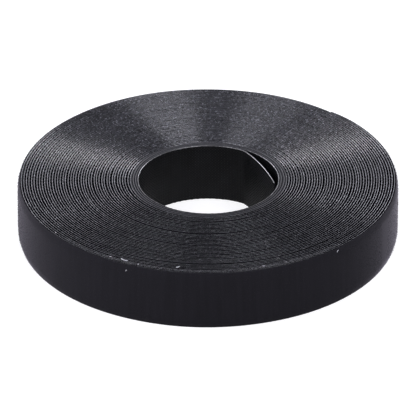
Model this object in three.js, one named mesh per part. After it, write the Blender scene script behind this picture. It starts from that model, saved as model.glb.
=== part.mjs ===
// Hook and loop tape roll: one length of back-to-back tape, wound on itself with no core and lying flat.
// Millimetres, +Z up. The origin is on the axis of the roll, at the level that it rests on.
// Azimuths are in degrees, counter-clockwise seen from above, and the radius grows with the azimuth.
import * as THREE from "three";

// Tape
const TAPE_WIDTH = 25;
const HOOK_SHEET_THICKNESS = 0.28; // moulded sheet that carries the hooks, on the inner side of every turn
const BOND_FILM_THICKNESS = 0.03; // adhesive between the sheet and the cloth
const LOOP_CLOTH_THICKNESS = 0.32; // brushed knit, on the outer side of every turn
const PILE_HEIGHT = 0.42; // engaged hooks and loops between one turn and the next

// Roll
const BORE_RADIUS = 28;
const WHOLE_TURNS = 45;
const INNER_ROOT_AZIMUTH = 58; // where the loose inner end leaves the bore wall
const OUTER_END_AZIMUTH = 48; // where the tape is cut off on the outside

// Free ends, each divided at the lines where it flexes
const OUTER_TAIL_COUNT = 6;
const OUTER_TAIL_LENGTH = 13.4;
const INNER_TAIL_COUNT = 3;
const INNER_TAIL_LENGTH = 10.4;
const INNER_TAIL_BOW = 2.9; // how far the inner end has sprung off the wall at mid-length
const INNER_TIP_STAND_OFF = 0.7; // and at its tip
const FLEX_GAP = 0.3; // clearance between one length of tape and the next

// Division of the curves
const WOUND_LOOPS = 21; // outer turns wound as ribbons, over a plain ring of the turns inside them
const STEPS_PER_LOOP = 24;
const OUTERMOST_STEPS = 72; // the outermost of those turns, whose wall shows
const BORE_STEPS = 72;
const OUTER_TAIL_STEPS = 2;
const INNER_TAIL_STEPS = 3;

const TAPE_THICKNESS = HOOK_SHEET_THICKNESS + BOND_FILM_THICKNESS + LOOP_CLOTH_THICKNESS;
const PITCH = TAPE_THICKNESS + PILE_HEIGHT;
const FULL_TURN = 2 * Math.PI;

// The two strips as depths through the tape, from its hook side.
const HOOK_LAYER = { inner: 0, outer: HOOK_SHEET_THICKNESS };
const LOOP_LAYER = { inner: HOOK_SHEET_THICKNESS + BOND_FILM_THICKNESS, outer: TAPE_THICKNESS };

// Winding angle runs from zero at the inner root, and the hook side of the tape follows the spiral.
const endLead = THREE.MathUtils.degToRad(OUTER_END_AZIMUTH - INNER_ROOT_AZIMUTH);
const tapeEnd = FULL_TURN * WHOLE_TURNS + THREE.MathUtils.euclideanModulo(endLead, FULL_TURN);
const spiralRadius = (angle) => BORE_RADIUS + (PITCH * angle) / FULL_TURN;
const rollRadius = spiralRadius(tapeEnd) + TAPE_THICKNESS;

const outerLengthAngle = OUTER_TAIL_LENGTH / rollRadius;
const outerRoot = tapeEnd - OUTER_TAIL_COUNT * outerLengthAngle;
const ringEnd = outerRoot - WOUND_LOOPS * FULL_TURN;
const innerTailRun = INNER_TAIL_COUNT * INNER_TAIL_LENGTH;

const hookMaterial = () =>
  new THREE.MeshStandardMaterial({ color: 0x161718, roughness: 0.45, metalness: 0 });
const loopMaterial = () =>
  new THREE.MeshStandardMaterial({ color: 0x222024, roughness: 0.95, metalness: 0 });
const edgeMaterial = () =>
  new THREE.MeshStandardMaterial({ color: 0x4a4a4e, roughness: 0.8, metalness: 0 });

// A point of the wound tape, at a winding angle and a depth from its hook side.
function woundPoint(angle, depth) {
  const azimuth = THREE.MathUtils.degToRad(INNER_ROOT_AZIMUTH) + angle;
  const radius = spiralRadius(angle) + depth;
  return new THREE.Vector2(radius * Math.cos(azimuth), radius * Math.sin(azimuth));
}

// A point of the loose inner end, at a run along it from its root.
// It is straighter than the wall, so it springs off it at its root and comes back to it at its tip.
function innerTailPoint(run, depth) {
  const share = run / innerTailRun;
  const standOff = 4 * INNER_TAIL_BOW * share * (1 - share) + INNER_TIP_STAND_OFF * share;
  return woundPoint(-run / BORE_RADIUS, depth - standOff);
}

// Values at even steps from start to end, both included.
function evenSteps(start, end, steps) {
  return Array.from({ length: steps + 1 }, (_, i) => start + ((end - start) * i) / steps);
}

// Upright band across the width of the tape, between an inner and an outer line of points.
function bandGeometry(innerLine, outerLine) {
  const outline = new THREE.Shape([...outerLine, ...innerLine.toReversed()]);
  return new THREE.ExtrudeGeometry(outline, { depth: TAPE_WIDTH, bevelEnabled: false });
}

function namedMesh(name, geometry, material) {
  const mesh = new THREE.Mesh(geometry, material);
  mesh.name = name;
  return mesh;
}

// The inner turns as a plain ring: both its outlines are one turn of the spiral, closed by a step.
function makeInnerTurns() {
  const outside = evenSteps(ringEnd - FULL_TURN, ringEnd, STEPS_PER_LOOP);
  const bore = evenSteps(0, FULL_TURN, BORE_STEPS);
  const outline = new THREE.Shape(outside.map((angle) => woundPoint(angle, TAPE_THICKNESS)));
  outline.holes.push(new THREE.Path(bore.map((angle) => woundPoint(angle, 0))));
  const ring = new THREE.ExtrudeGeometry(outline, { depth: TAPE_WIDTH, bevelEnabled: false });
  return namedMesh("inner_turns", ring, edgeMaterial());
}

// Points along the wound ribbons at one depth through the tape, starting a gap after the plain ring ends.
function ribbonLine(depth) {
  const lastTurn = outerRoot - FULL_TURN;
  const angles = [
    ...evenSteps(ringEnd, lastTurn, (WOUND_LOOPS - 1) * STEPS_PER_LOOP),
    ...evenSteps(lastTurn, outerRoot, OUTERMOST_STEPS).slice(1),
  ];
  const line = angles.map((angle) => woundPoint(angle, depth));
  line[0].lerp(line[1], FLEX_GAP / line[0].distanceTo(line[1]));
  return line;
}

function makeRibbon(name, layer, material) {
  return namedMesh(name, bandGeometry(ribbonLine(layer.inner), ribbonLine(layer.outer)), material);
}

// Least distance from the outer face of a wound strip to the inner face of its later turns.
function leastGap(layer) {
  const innerLine = ribbonLine(layer.inner).map((point) => new THREE.Vector3(point.x, point.y, 0));
  const nearest = new THREE.Vector3();
  const edge = new THREE.Line3();
  let least = Infinity;
  ribbonLine(layer.outer).forEach((point, i) => {
    const from = new THREE.Vector3(point.x, point.y, 0);
    for (let j = i + STEPS_PER_LOOP / 2; j < innerLine.length - 1; j += 1) {
      edge.set(innerLine[j], innerLine[j + 1]).closestPointToPoint(from, true, nearest);
      least = Math.min(least, nearest.distanceTo(from));
    }
  });
  return least;
}

// One length of a free end, in a group that stands at the line where it flexes.
// pointAt follows the path of the end, from the cut to the next one, and gap is the clearance after the cut.
// hingeDepth is the side of the tape that stays whole as the end bends.
function makeTailLength({ label, index, pointAt, cut, gap, end, steps, hingeDepth }) {
  const hinge = pointAt(cut + gap / 2, hingeDepth);
  const stations = evenSteps(cut + gap, end, steps);
  const group = new THREE.Group();
  group.name = `${label}_${index}_hinge`;
  group.position.set(hinge.x, hinge.y, 0);
  const strips = [
    { kind: "hook", layer: HOOK_LAYER, material: hookMaterial() },
    { kind: "loop", layer: LOOP_LAYER, material: loopMaterial() },
  ];
  for (const { kind, layer, material } of strips) {
    const innerLine = stations.map((at) => pointAt(at, layer.inner).sub(hinge));
    const outerLine = stations.map((at) => pointAt(at, layer.outer).sub(hinge));
    group.add(namedMesh(`${label}_${kind}_${index}`, bandGeometry(innerLine, outerLine), material));
  }
  return group;
}

// The free outer end lies on the roll and peels off it, bending about its loop side.
function makeOuterTail() {
  const tail = new THREE.Group();
  for (let i = 0; i < OUTER_TAIL_COUNT; i += 1) {
    const cut = outerRoot + i * outerLengthAngle;
    tail.add(
      makeTailLength({
        label: "outer_tail",
        index: i + 1,
        pointAt: woundPoint,
        cut,
        gap: FLEX_GAP / rollRadius,
        end: cut + outerLengthAngle,
        steps: OUTER_TAIL_STEPS,
        hingeDepth: TAPE_THICKNESS,
      }),
    );
  }
  return tail;
}

// The loose inner end curls into the bore, bending about its hook side.
function makeInnerTail() {
  const tail = new THREE.Group();
  for (let i = 0; i < INNER_TAIL_COUNT; i += 1) {
    const cut = i * INNER_TAIL_LENGTH;
    tail.add(
      makeTailLength({
        label: "inner_tail",
        index: i + 1,
        pointAt: innerTailPoint,
        cut,
        gap: FLEX_GAP,
        end: cut + INNER_TAIL_LENGTH,
        steps: INNER_TAIL_STEPS,
        hingeDepth: 0,
      }),
    );
  }
  return tail;
}

const roll = new THREE.Group();
roll.add(
  makeInnerTurns(),
  makeRibbon("hook_strip", HOOK_LAYER, hookMaterial()),
  makeRibbon("loop_strip", LOOP_LAYER, loopMaterial()),
  makeOuterTail(),
  makeInnerTail(),
);

console.log(`least gap of hook_strip to itself: ${leastGap(HOOK_LAYER).toFixed(3)} mm`);
console.log(`least gap of loop_strip to itself: ${leastGap(LOOP_LAYER).toFixed(3)} mm`);
const wholeTape = { inner: HOOK_LAYER.inner, outer: LOOP_LAYER.outer };
console.log(`least gap between turns of the tape: ${leastGap(wholeTape).toFixed(3)} mm`);

export default roll;
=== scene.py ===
"""Looks of a coreless roll of black back-to-back hook and loop tape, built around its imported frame.

The tape is modelled lying straight, with its run along X, its depth along Y and its width along Z.
Each piece is then wound into place.
Lengths are in metres, and angles in radians where nothing else is said.
"""
import logging
import math
from dataclasses import dataclass, field
from enum import Enum
from typing import Any, Optional, Sequence, Union

import bmesh
import bpy
import numpy as np
from mathutils import Matrix, Vector


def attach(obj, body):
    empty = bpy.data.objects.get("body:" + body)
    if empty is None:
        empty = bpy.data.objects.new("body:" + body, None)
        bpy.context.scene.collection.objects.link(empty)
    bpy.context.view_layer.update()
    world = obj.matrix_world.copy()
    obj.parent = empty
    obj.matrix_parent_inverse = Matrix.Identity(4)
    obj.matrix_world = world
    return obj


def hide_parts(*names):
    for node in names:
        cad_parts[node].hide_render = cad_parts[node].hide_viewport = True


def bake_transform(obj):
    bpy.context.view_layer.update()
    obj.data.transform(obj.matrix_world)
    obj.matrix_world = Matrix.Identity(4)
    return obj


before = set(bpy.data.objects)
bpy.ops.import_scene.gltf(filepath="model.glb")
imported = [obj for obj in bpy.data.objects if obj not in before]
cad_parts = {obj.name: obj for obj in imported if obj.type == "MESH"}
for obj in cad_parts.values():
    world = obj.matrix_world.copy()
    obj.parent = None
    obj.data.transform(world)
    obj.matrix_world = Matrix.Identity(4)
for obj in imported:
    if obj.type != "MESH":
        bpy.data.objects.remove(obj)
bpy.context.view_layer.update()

LOG = logging.getLogger("tape_roll")
MM = 0.001
FULL_TURN = 2 * math.pi
TAPE_MAP = "Tape"
BAKE_MAP = "OFBake"

# Sockets of a Mix node for colours, by number, as others on the node have the same names
MIX_SHARE = 0
MIX_FIRST = 6
MIX_SECOND = 7
MIX_RESULT = 2

Number = Union["Signal", float]
Colour = tuple[float, float, float]


class Side(Enum):
    """The two strips that are bonded back to back."""

    HOOK = "hook"
    LOOP = "loop"


class Slot(Enum):
    """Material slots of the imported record."""

    HOOK_SHEET = "hook_sheet"
    LOOP_CLOTH = "loop_cloth"


class Rim(Enum):
    """The two slit edges of the tape, as the roll lies."""

    TOP = "top"
    BOTTOM = "bottom"


class Face(Enum):
    """Faces of a strip, by the number of the material that they take."""

    PLAIN = 0
    SLIT = 1
    PRESSED = 2
    TIGHT = 3
    LIP = 4
    STANDING = 5


class Signal:
    """A shader socket that takes part in Python arithmetic: each operation adds a Math node."""

    def __init__(self, board: "Board", socket: bpy.types.NodeSocket) -> None:
        """Wraps an output socket of a board's tree."""
        self.board = board
        self.socket = socket

    def _math(self, operation: str, first: Number, second: Number) -> "Signal":
        """Adds one Math node.

        Args:
            operation: The node's operation.
            first: Its first operand.
            second: Its second operand.

        Returns:
            The node's result.
        """
        node = self.board.node("ShaderNodeMath", {"operation": operation}, {0: first, 1: second})
        return Signal(self.board, node.outputs[0])

    def __add__(self, other: Number) -> "Signal":
        """Sum."""
        return self._math("ADD", self, other)

    def __radd__(self, other: Number) -> "Signal":
        """Sum, reflected."""
        return self._math("ADD", other, self)

    def __sub__(self, other: Number) -> "Signal":
        """Difference."""
        return self._math("SUBTRACT", self, other)

    def __rsub__(self, other: Number) -> "Signal":
        """Difference, reflected."""
        return self._math("SUBTRACT", other, self)

    def __mul__(self, other: Number) -> "Signal":
        """Product."""
        return self._math("MULTIPLY", self, other)

    def __rmul__(self, other: Number) -> "Signal":
        """Product, reflected."""
        return self._math("MULTIPLY", other, self)

    def most(self, other: Number) -> "Signal":
        """The greater of two values."""
        return self._math("MAXIMUM", self, other)


class Board:
    """The node tree of one material or world."""

    def __init__(self, owner: Union[bpy.types.Material, bpy.types.World]) -> None:
        """Empties a node tree and takes it over.

        Args:
            owner: The material or world that it belongs to.
        """
        owner.use_nodes = True
        self.tree = owner.node_tree
        self.tree.nodes.clear()

    def node(
        self,
        kind: str,
        settings: Optional[dict[str, Any]] = None,
        inputs: Optional[dict[Union[str, int], Any]] = None,
    ) -> bpy.types.Node:
        """Adds a node, and sets its properties first and then its sockets.

        Args:
            kind: The node's type.
            settings: Its properties.
            inputs: Values for its sockets, or Signals to link to them.

        Returns:
            The node.
        """
        made = self.tree.nodes.new(kind)
        for name, value in (settings or {}).items():
            setattr(made, name, value)
        for name, value in (inputs or {}).items():
            if isinstance(value, Signal):
                self.tree.links.new(value.socket, made.inputs[name])
            else:
                made.inputs[name].default_value = value
        return made

    def signal(
        self,
        kind: str,
        settings: dict[str, Any],
        inputs: dict[Union[str, int], Any],
        output: Union[str, int] = 0,
    ) -> Signal:
        """Adds a node and gives one of its outputs.

        Args:
            kind: The node's type.
            settings: Its properties.
            inputs: Values or links of its sockets.
            output: The output's name or number.

        Returns:
            That output.
        """
        return Signal(self, self.node(kind, settings, inputs).outputs[output])

    def along_tape(self, run_scale: float = 1.0, width_scale: float = 1.0) -> Signal:
        """Coordinates that follow the tape, in millimetres times a scale each way.

        Args:
            run_scale: Scale along the tape.
            width_scale: Scale across it.

        Returns:
            The coordinates.
        """
        place = self.signal("ShaderNodeUVMap", {"uv_map": TAPE_MAP}, {}, "UV")
        scale = (run_scale, width_scale, 1)
        return self.signal("ShaderNodeMapping", {}, {"Vector": place, "Scale": scale})

    def noise(self, place: Signal, scale: float, detail: float = 2.0, roughness: float = 0.5) -> Signal:
        """Fractal noise.

        Args:
            place: Coordinates.
            scale: Cells to a unit of them.
            detail: Octaves.
            roughness: Strength of the finer octaves.

        Returns:
            A value from 0 to 1.
        """
        inputs = {"Vector": place, "Scale": scale, "Detail": detail, "Roughness": roughness}
        return self.signal("ShaderNodeTexNoise", {}, inputs)

    def step(self, value: Number, low: float, high: float) -> Signal:
        """Smooth step of a value, from 0 at low to 1 at high."""
        inputs = {"Value": value, "From Min": low, "From Max": high, "To Min": 0.0, "To Max": 1.0}
        return self.signal("ShaderNodeMapRange", {"interpolation_type": "SMOOTHSTEP"}, inputs)

    def mix(self, share: Number, first: Union[Signal, Colour], second: Union[Signal, Colour]) -> Signal:
        """Mixes two colours.

        Args:
            share: Share of the second.
            first: First colour.
            second: Second colour.

        Returns:
            The mixed colour.
        """
        inputs = {MIX_SHARE: share, MIX_FIRST: self._opaque(first), MIX_SECOND: self._opaque(second)}
        return self.signal("ShaderNodeMix", {"data_type": "RGBA"}, inputs, MIX_RESULT)

    @staticmethod
    def _opaque(colour: Union[Signal, Colour]) -> Any:
        """A colour as a socket takes it."""
        return colour if isinstance(colour, Signal) else (*colour, 1.0)

    def bump(self, height: Signal, strength: float, distance: float) -> Signal:
        """Normal of a surface with fine relief.

        Args:
            height: The relief, from 0 to 1.
            strength: Share of it that shows.
            distance: Depth of it.

        Returns:
            The normal.
        """
        inputs = {"Height": height, "Strength": strength, "Distance": distance}
        return self.signal("ShaderNodeBump", {}, inputs)

    def surface(self, inputs: dict[str, Any]) -> None:
        """Ends the tree in one Principled shader with these inputs."""
        shader = self.signal("ShaderNodeBsdfPrincipled", {}, inputs)
        self.node("ShaderNodeOutputMaterial", {}, {"Surface": shader})


@dataclass(frozen=True)
class Tape:
    """The laminated tape, in section.

    Attributes:
        width: Its width.
        hook_sheet: Thickness of the moulded sheet that carries the hooks.
        bond_film: Thickness of the adhesive.
        loop_cloth: Thickness of the brushed knit.
        pile: Height of the engaged hooks and loops, from one turn to the next.
    """

    width: float = 25 * MM
    hook_sheet: float = 0.28 * MM
    bond_film: float = 0.03 * MM
    loop_cloth: float = 0.32 * MM
    pile: float = 0.42 * MM

    @property
    def thickness(self) -> float:
        """Both strips and the film between them."""
        return self.hook_sheet + self.bond_film + self.loop_cloth

    @property
    def pitch(self) -> float:
        """Growth of the radius in one turn."""
        return self.thickness + self.pile

    def layer(self, side: Side) -> tuple[float, float]:
        """Depths between which a strip lies.

        Args:
            side: Which strip.

        Returns:
            Its inner and outer depth, from the hook side.
        """
        if side is Side.HOOK:
            return 0.0, self.hook_sheet
        return self.hook_sheet + self.bond_film, self.thickness


@dataclass(frozen=True)
class Slack:
    """A place where one turn lies a little apart from the next, seen as a dark arc.

    Attributes:
        turns: Turns inside it, counted from the bore.
        azimuth: The middle of it.
        spread: How far it reaches to both sides.
        gap: How far the turns lie apart.
    """

    turns: int
    azimuth: float
    spread: float
    gap: float


@dataclass(frozen=True)
class Winding:
    """The spiral that the tape lies in, and the loose inner end that leaves it at a run below zero.

    Attributes:
        tape: The tape in section.
        bore_radius: Radius of the hook side where the spiral starts.
        whole_turns: Whole turns of the spiral.
        inner_root_azimuth: Where the loose inner end leaves the bore wall.
        outer_end_azimuth: Where the tape is cut off on the outside.
        inner_end_length: Length of the loose inner end.
        inner_end_bow: How far it has sprung off the wall at mid-length.
        inner_tip_stand_off: How far its tip stands off the wall.
        pressed_length: Length of the outer end that is pressed against the roll.
        pressed_depth: How far its tip is pressed in.
        edge_sway: How far the turns ride up.
        sway_periods: Lengths of tape over which they do.
        turn_slack: How far the turns waver in and out.
        slack_periods: Lengths of tape over which they do.
        bore_drawn_in: How much smaller the bore has been drawn.
        bore_oval: How much wider than deep it is, on each side.
        bore_shift: How far its middle lies to the right and to the back.
        slacks: Places where two turns lie apart.
        slack_fade: Turns over which a slack place fades out.
    """

    tape: Tape
    bore_radius: float = 28 * MM
    whole_turns: int = 45
    inner_root_azimuth: float = math.radians(58)
    outer_end_azimuth: float = math.radians(48)
    inner_end_length: float = 31.2 * MM
    inner_end_bow: float = 2.9 * MM
    inner_tip_stand_off: float = 0.7 * MM
    pressed_length: float = 14 * MM
    pressed_depth: float = 0.38 * MM
    edge_sway: float = 0.06 * MM
    sway_periods: tuple[float, ...] = (390 * MM, 133 * MM, 47 * MM)
    turn_slack: float = 0.12 * MM
    slack_periods: tuple[float, ...] = (470 * MM, 171 * MM, 67 * MM)
    bore_drawn_in: float = 0.25 * MM
    bore_oval: float = 0.15 * MM
    bore_shift: tuple[float, float] = (0.2 * MM, 0.3 * MM)
    slacks: tuple[Slack, ...] = (
        Slack(39, math.radians(262), math.radians(42), 0.45 * MM),
        Slack(32, math.radians(286), math.radians(26), 0.22 * MM),
        Slack(25, math.radians(250), math.radians(30), 0.25 * MM),
        Slack(16, math.radians(268), math.radians(38), 0.4 * MM),
        Slack(8, math.radians(240), math.radians(30), 0.2 * MM),
    )
    slack_fade: float = 3.5

    @property
    def end_angle(self) -> float:
        """Winding angle where the tape is cut off on the outside."""
        lead = (self.outer_end_azimuth - self.inner_root_azimuth) % FULL_TURN
        return FULL_TURN * self.whole_turns + lead

    @property
    def outer_radius(self) -> float:
        """Radius of the loop side at the outer end."""
        return self.bore_radius + self.tape.pitch * self.end_angle / FULL_TURN + self.tape.thickness

    @property
    def end_run(self) -> float:
        """Length of tape from the inner root to its outer end."""
        return self.run_at(self.end_angle)

    @property
    def bare_run(self) -> float:
        """Run from which nothing lies over the tape."""
        return self.run_at(self.end_angle - FULL_TURN)

    @property
    def first_turn(self) -> float:
        """Run where the innermost turn ends."""
        return self.run_at(FULL_TURN)

    def outer_run(self, azimuth: float) -> float:
        """Run of the outermost tape at an azimuth."""
        return self.run_at(self.end_angle - (self.outer_end_azimuth - azimuth) % FULL_TURN)

    def run_at(self, angle: float) -> float:
        """Length of tape from the inner root to a winding angle."""
        return self.bore_radius * angle + self.tape.pitch * angle**2 / (2 * FULL_TURN)

    def angle_at(self, run: np.ndarray) -> np.ndarray:
        """Winding angles along the tape.

        Args:
            run: Lengths of tape from the inner root, below zero on the loose inner end.

        Returns:
            The angle at each of them.
        """
        growth = self.tape.pitch / FULL_TURN
        wound = np.sqrt(self.bore_radius**2 + 2 * growth * np.maximum(run, 0)) - self.bore_radius
        return np.where(run < 0, run / self.bore_radius, wound / growth)

    @staticmethod
    def _waver(run: np.ndarray, periods: Sequence[float]) -> np.ndarray:
        """Slow uneven wave along the tape, from about -1 to 1."""
        waves = [np.sin(FULL_TURN * run / period + place) for place, period in enumerate(periods)]
        return sum(waves) / len(periods)

    def place(self, flat: np.ndarray) -> np.ndarray:
        """Winds points of the straight tape into place.

        Args:
            flat: Rows of run, depth and width.

        Returns:
            Rows of x, y and z.
        """
        run, depth, across = flat.T
        angle = self.angle_at(run)
        loose = np.clip(-run / self.inner_end_length, 0, 1)
        pressed = np.clip(1 - (self.end_run - run) / self.pressed_length, 0, 1)
        azimuth = self.inner_root_azimuth + angle
        radius = self.bore_radius + self.tape.pitch * angle / FULL_TURN + depth
        inside = np.clip((self.outer_radius - radius) / (self.outer_radius - self.bore_radius), 0, 1)
        radius = radius + inside * self._settled(azimuth)
        radius = radius - 4 * self.inner_end_bow * loose * (1 - loose) - self.inner_tip_stand_off * loose
        radius = radius - self.pressed_depth * pressed**2
        radius = radius + self.turn_slack * self._waver(run, self.slack_periods) + self._slackened(angle)
        lift = self.edge_sway * (1 + self._waver(run, self.sway_periods))
        return np.stack([radius * np.cos(azimuth), radius * np.sin(azimuth), across + lift], axis=1)

    def _settled(self, azimuth: np.ndarray) -> np.ndarray:
        """How far the bore has settled outwards.

        Args:
            azimuth: Where.

        Returns:
            The distance at each azimuth.
        """
        right, back = self.bore_shift
        shift = right * np.cos(azimuth) + back * np.sin(azimuth)
        return shift + self.bore_oval * np.cos(2 * azimuth) - self.bore_drawn_in

    def _slackened(self, angle: np.ndarray) -> np.ndarray:
        """How far the slack places move the turns outwards, or inwards on the inner side of a gap.

        Args:
            angle: Winding angles.

        Returns:
            The distance at each angle.
        """
        moved = np.zeros_like(angle)
        for slack in self.slacks:
            lead = (slack.azimuth - self.inner_root_azimuth) % FULL_TURN
            beyond = (angle - lead) / FULL_TURN - slack.turns
            turn = np.round(beyond)
            near = np.exp(-(((beyond - turn) * FULL_TURN / slack.spread) ** 2))
            fade = np.exp(-np.abs(turn + 0.5) / self.slack_fade)
            moved += 0.5 * slack.gap * np.where(turn < 0, -1, 1) * near * fade
        return moved

    def point(self, run: float, depth: float) -> Vector:
        """Point at mid-width of the tape, at a run and a depth."""
        return Vector(self.place(np.array([[run, depth, self.tape.width / 2]]))[0])


@dataclass(frozen=True)
class HookPlastic:
    """Black moulded plastic of the hook sheet and its hooks."""

    black: Colour = (0.0042, 0.0044, 0.005)
    greyed: Colour = (0.008, 0.0083, 0.0095)

    def make(self) -> bpy.types.Material:
        """Builds the material."""
        board = Board(material := bpy.data.materials.new("hook_plastic"))
        grain = board.noise(board.along_tape(), scale=6.0)
        haze = board.noise(board.along_tape(0.12, 0.08), scale=1.0, detail=3.0, roughness=0.6)
        board.surface({
            "Base Color": board.mix(board.step(haze, low=0.35, high=0.7), self.black, self.greyed),
            "Roughness": 0.42 + 0.1 * grain,
            "Specular IOR Level": 0.14,
            "Normal": board.bump(grain, strength=0.2, distance=0.02 * MM),
        })
        return material


@dataclass(frozen=True)
class SlitPlastic:
    """Slit edge of the hook sheet, rolled over and burnished by the knife: streaky, with pale painted
    glints.
    """

    name: str = "slit_plastic"
    dark: Colour = (0.0195, 0.0202, 0.0252)
    grey: Colour = (0.046, 0.0472, 0.0578)
    # Colour of the painted glints
    pale: Colour = (0.262, 0.267, 0.3)

    def make(self) -> bpy.types.Material:
        """Builds the material."""
        board = Board(material := bpy.data.materials.new(self.name))
        streak = board.noise(board.along_tape(0.16, 0.3), scale=1.0, detail=3.0, roughness=0.6)
        # Painted glints: pale spots on the edge, standing in for sparkles of light on it
        painted_glints = board.noise(board.along_tape(), scale=1.1, detail=3.0, roughness=0.65)
        body = board.mix(board.step(streak, low=0.36, high=0.66), self.dark, self.grey)
        board.surface({
            "Base Color": board.mix(board.step(painted_glints, low=0.54, high=0.68), body, self.pale),
            "Roughness": 0.12 + 0.2 * painted_glints,
            "IOR": 1.8,
            "Specular IOR Level": 1.0,
            "Coat Weight": 0.5,
            "Coat Roughness": 0.3,
        })
        return material


@dataclass(frozen=True)
class LoopCloth:
    """Black brushed knit of the loop strip, with a soft bloom at grazing angles."""

    black: Colour = (0.0115, 0.011, 0.0134)
    faded: Colour = (0.0158, 0.0148, 0.0184)
    bloom: Colour = (0.9, 0.84, 0.93)

    def make(self) -> bpy.types.Material:
        """Builds the material."""
        board = Board(material := bpy.data.materials.new("loop_cloth"))
        streak = board.noise(board.along_tape(0.55, 0.035), scale=1.0, detail=3.0, roughness=0.6)
        fluff = board.noise(board.along_tape(), scale=3.2, detail=4.0, roughness=0.65)
        worn = board.step(0.6 * streak + 0.4 * fluff, low=0.3, high=0.7)
        board.surface({
            "Base Color": board.mix(worn, self.black, self.faded),
            "Roughness": 0.82 + 0.14 * fluff,
            "Specular IOR Level": 0.12,
            "Sheen Weight": 0.6,
            "Sheen Roughness": 0.29,
            "Sheen Tint": (*self.bloom, 1.0),
            "Normal": board.bump(fluff, strength=0.35, distance=0.05 * MM),
        })
        return material


@dataclass(frozen=True)
class PileFilament:
    """Black filament of the brushed loops."""

    black: Colour = (0.011, 0.0105, 0.013)
    faded: Colour = (0.017, 0.016, 0.02)
    bloom: Colour = (0.86, 0.8, 0.92)

    def make(self) -> bpy.types.Material:
        """Builds the material."""
        board = Board(material := bpy.data.materials.new("pile_filament"))
        streak = board.noise(board.along_tape(0.55, 0.035), scale=1.0, detail=3.0, roughness=0.6)
        board.surface({
            "Base Color": board.mix(board.step(streak, low=0.3, high=0.7), self.black, self.faded),
            "Roughness": 0.7 + 0.15 * streak,
            "Specular IOR Level": 0.15,
            "Sheen Weight": 0.05,
            "Sheen Roughness": 0.4,
            "Sheen Tint": (*self.bloom, 1.0),
        })
        return material


@dataclass(frozen=True)
class LintFibre:
    """Pale stray lint that clings to the edge of the roll."""

    pale: Colour = (0.9, 0.9, 0.93)
    grey: Colour = (0.6, 0.6, 0.63)

    def make(self) -> bpy.types.Material:
        """Builds the material."""
        board = Board(material := bpy.data.materials.new("lint_fibre"))
        patch = board.noise(board.signal("ShaderNodeTexCoord", {}, {}, "Object"), scale=900.0)
        board.surface({
            "Base Color": board.mix(patch, self.grey, self.pale),
            "Roughness": 0.8 + 0.1 * patch,
            "Specular IOR Level": 0.2,
        })
        return material


@dataclass(frozen=True)
class DullFinish:
    """A finish in two shades that change in small patches along the tape.

    Attributes:
        name: The material's name.
        dark: Its darker shade.
        pale: Its paler shade.
        cells: Patches to a millimetre.
        detail: Octaves of the patches.
        turn: Levels of the patches between which the dark shade turns pale.
        roughness: Its least roughness.
        rougher: What the patches add to that.
        shine: Strength of its highlights.
    """

    name: str
    dark: Colour
    pale: Colour
    cells: float = 1.2
    detail: float = 3.0
    turn: tuple[float, float] = (0.35, 0.75)
    roughness: float = 0.5
    rougher: float = 0.2
    shine: float = 0.3

    def make(self) -> bpy.types.Material:
        """Builds the material."""
        board = Board(material := bpy.data.materials.new(self.name))
        patch = board.noise(board.along_tape(), self.cells, self.detail, roughness=0.6)
        board.surface({
            "Base Color": board.mix(board.step(patch, *self.turn), self.dark, self.pale),
            "Roughness": self.roughness + self.rougher * patch,
            "Specular IOR Level": self.shine,
        })
        return material


# Slit edge of the hook sheet in the innermost turn, painted paler as the highlight along the bore's lip
LIP_HIGHLIGHT = SlitPlastic("lip_highlight_slit_plastic", dark=(0.05,) * 3, grey=(0.115,) * 3, pale=(0.3,) * 3)

# Hooks of the outermost rows, scuffed by the slitting knife
CUT_HOOKS = DullFinish(
    "cut_hook_plastic", dark=(0.0092, 0.0095, 0.0117), pale=(0.027, 0.0277, 0.0335),
    cells=0.9, detail=2.0, turn=(0.4, 0.62), roughness=0.42, rougher=0.15, shine=0.12,
)

# Slit edge of the loop strip, of black cut yarn, darkened further with painted shade in place of a slight
# recess below the plastic edge
SLIT_CLOTH_SHADED = DullFinish(
    "slit_cloth_shaded", dark=(0.0025, 0.0025, 0.003), pale=(0.008, 0.008, 0.0095),
    cells=1.7, turn=(0.45, 0.75), roughness=0.72, shine=0.0,
)

# Sides of the strips that are pressed together between two turns: without shine, and painted dark as the
# shade inside the gaps
PRESSED_SIDES_IN_SHADE = DullFinish(
    "pressed_pile_shade", dark=(0.004, 0.004, 0.005), pale=(0.01, 0.01, 0.012),
    cells=1.6, turn=(0.35, 0.7), roughness=0.85, rougher=0.15, shine=0.0,
)

# Slit edges of the innermost turns, which lie tight
TIGHT_EDGE = DullFinish(
    "tight_edge", dark=(0.048, 0.048, 0.054), pale=(0.074, 0.074, 0.081), roughness=0.36, shine=0.8
)

# Engaged pile that shows between the innermost turns
FELTED_PILE = DullFinish("felted_pile", dark=(0.018, 0.018, 0.021), pale=(0.034, 0.034, 0.038))

# Loops that have frayed over the rim, painted pale as well with the glints and backlight that the fuzz
# catches
FRAYED_LOOPS_GLINTING = DullFinish("frayed_filament_glints", dark=(0.05, 0.05, 0.057), pale=(0.34, 0.34, 0.35), cells=0.8)


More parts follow.
